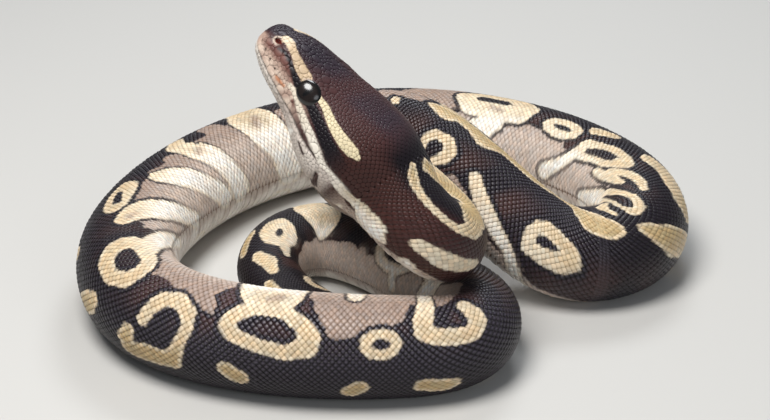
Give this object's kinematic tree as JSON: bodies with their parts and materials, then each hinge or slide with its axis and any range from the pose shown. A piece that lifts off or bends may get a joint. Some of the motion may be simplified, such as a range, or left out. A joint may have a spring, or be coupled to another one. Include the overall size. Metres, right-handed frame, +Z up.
{
  "type": "coiled snake figure",
  "caption": "Life-size ball python resting in a loose coil, head raised on a folded neck, mouth closed, lying flat on its flanks and belly.",
  "frame": {"origin": "middle of the bounding box, on the plane that the coil lies on", "axes": "+Z up, +X along the coil's longest side, from the side the snout points to towards the side where the neck joins the coil"},
  "size_m": [0.1932, 0.1716, 0.0999],
  "materials": {
    "head_skin": "smooth head shields, dark brown, low gloss",
    "jaw_skin": "small pale shields, low gloss",
    "eye": "wet black dome under a clear spectacle",
    "neck_skin": "fine smooth scales, dark brown",
    "trunk_skin": "smooth scales, black and grey-brown with cream and tan blotches",
    "tail_skin": "small smooth scales, dark with a tan stripe"
  },
  "bodies": {
    "root": {"head": "head_skin", "lower_jaw": "jaw_skin", "eye_left": "eye", "eye_right": "eye", "neck_01": "neck_skin", "neck_02": "neck_skin", "neck_03": "neck_skin", "neck_04": "neck_skin", "neck_05": "neck_skin", "neck_06": "neck_skin", "trunk_01": "trunk_skin", "trunk_02": "trunk_skin", "trunk_03": "trunk_skin", "trunk_04": "trunk_skin", "trunk_05": "trunk_skin", "trunk_06": "trunk_skin", "trunk_07": "trunk_skin", "trunk_08": "trunk_skin", "trunk_09": "trunk_skin", "trunk_10": "trunk_skin", "trunk_11": "trunk_skin", "trunk_12": "trunk_skin", "trunk_13": "trunk_skin", "trunk_14": "trunk_skin", "trunk_15": "trunk_skin", "trunk_16": "trunk_skin", "trunk_17": "trunk_skin", "trunk_18": "trunk_skin", "trunk_19": "trunk_skin", "tail_01": "tail_skin", "tail_02": "tail_skin", "tail_tip": "tail_skin"}
  },
  "joints": []
}
